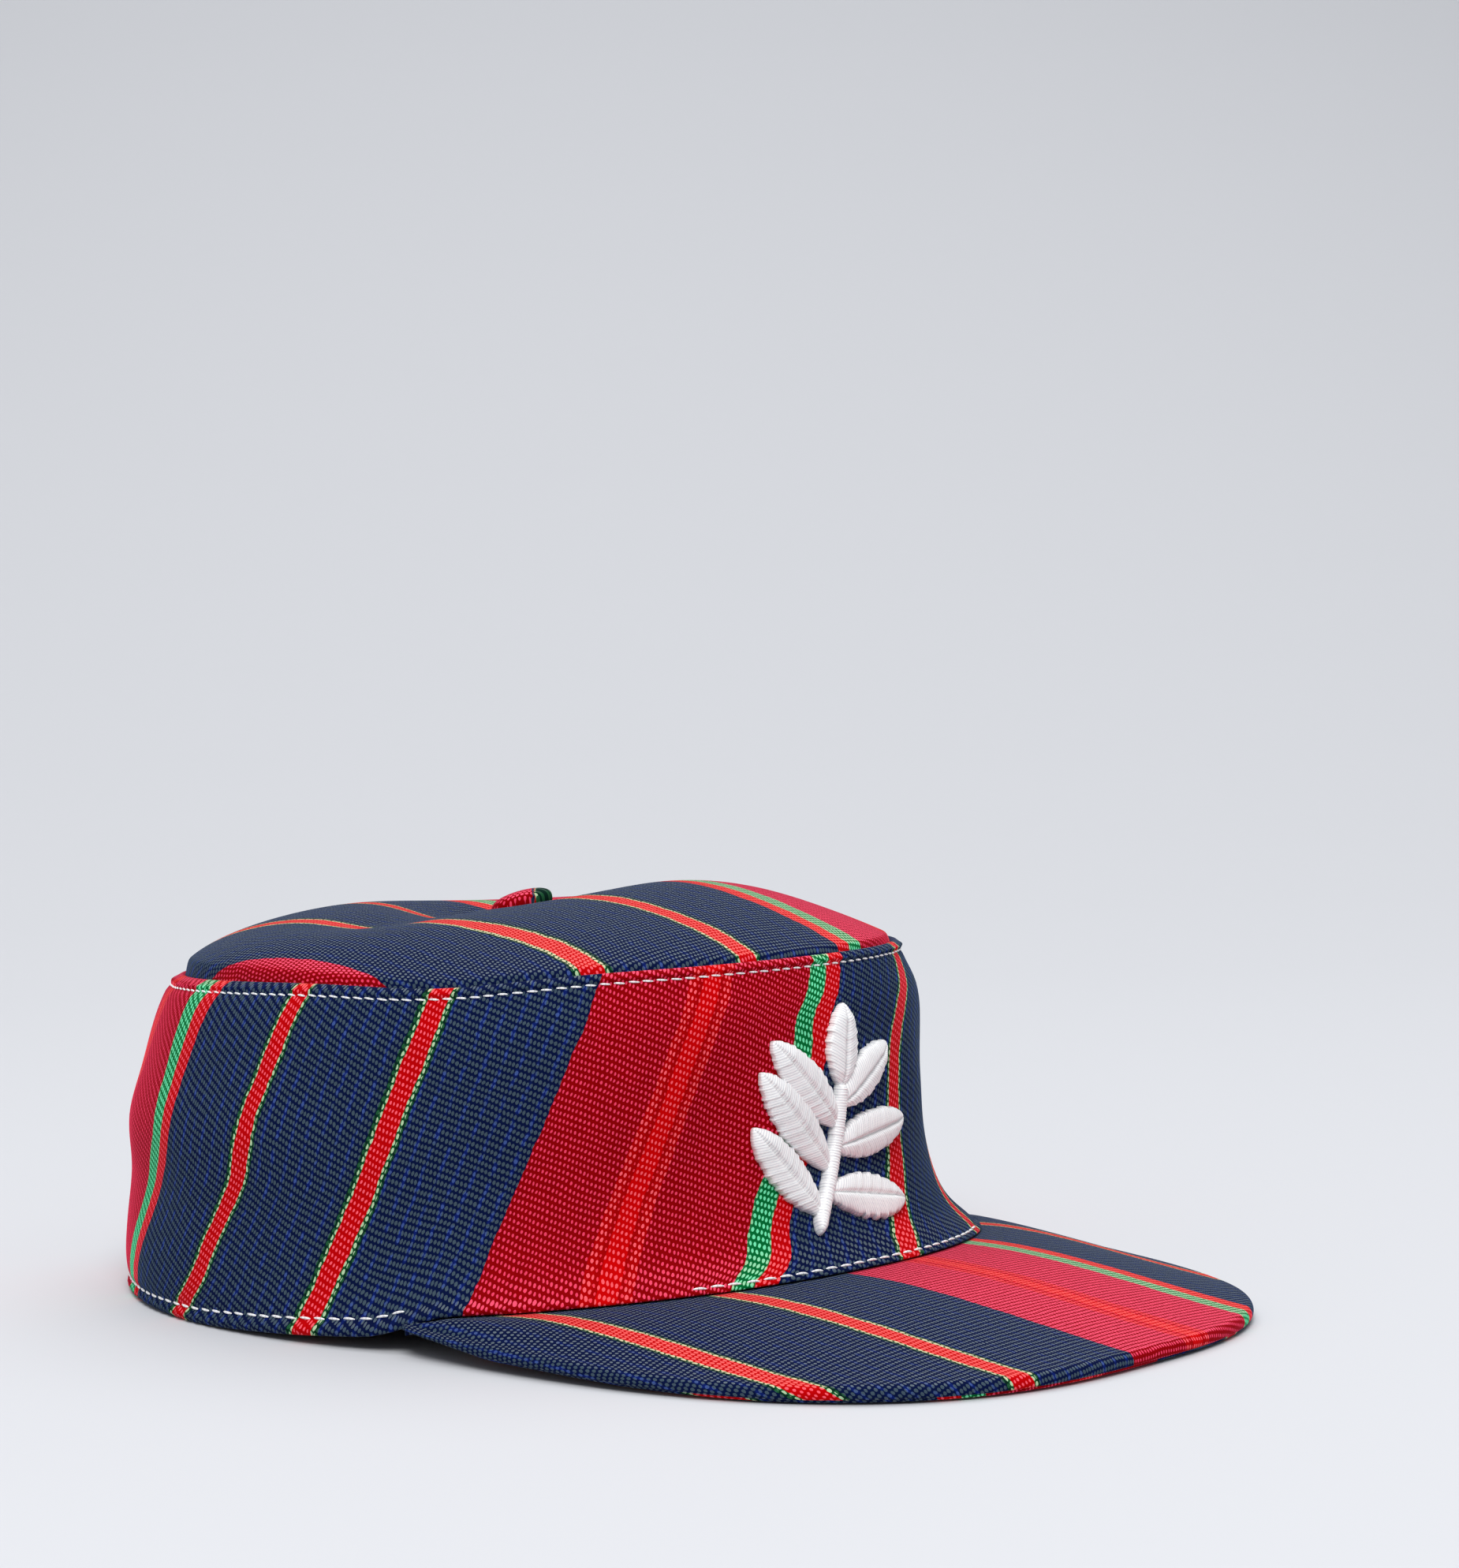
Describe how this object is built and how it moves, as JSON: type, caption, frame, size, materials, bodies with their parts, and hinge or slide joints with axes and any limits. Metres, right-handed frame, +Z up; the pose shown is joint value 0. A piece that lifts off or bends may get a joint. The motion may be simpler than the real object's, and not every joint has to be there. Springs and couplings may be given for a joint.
{
  "type": "pillbox cap with a peak",
  "caption": "Soft striped pillbox cap: tapering cloth wall, puffed top with a covered button, arched peak and a raised stitched sprig on the front.",
  "frame": {"origin": "middle of the cap's footprint, on the surface it rests on", "axes": "+Z up, -Y towards the front of the peak, -X towards the wearer's right"},
  "size_m": [0.1732, 0.2586, 0.0842],
  "materials": {
    "band_cloth": "woven stripe: navy, crimson, orange-red and green",
    "top_cloth": "woven stripe, stripes running front to back",
    "button_cloth": "woven stripe over a button",
    "peak_cloth": "woven stripe, stripes running front to back",
    "peak_under_cloth": "woven stripe on the underside",
    "emblem_thread": "white satin stitch"
  },
  "bodies": {
    "root": {"side_band": "band_cloth", "top_panel": "top_cloth", "top_button": "button_cloth", "peak_upper": "peak_cloth", "peak_under": "peak_under_cloth", "front_emblem": "emblem_thread"}
  },
  "joints": []
}
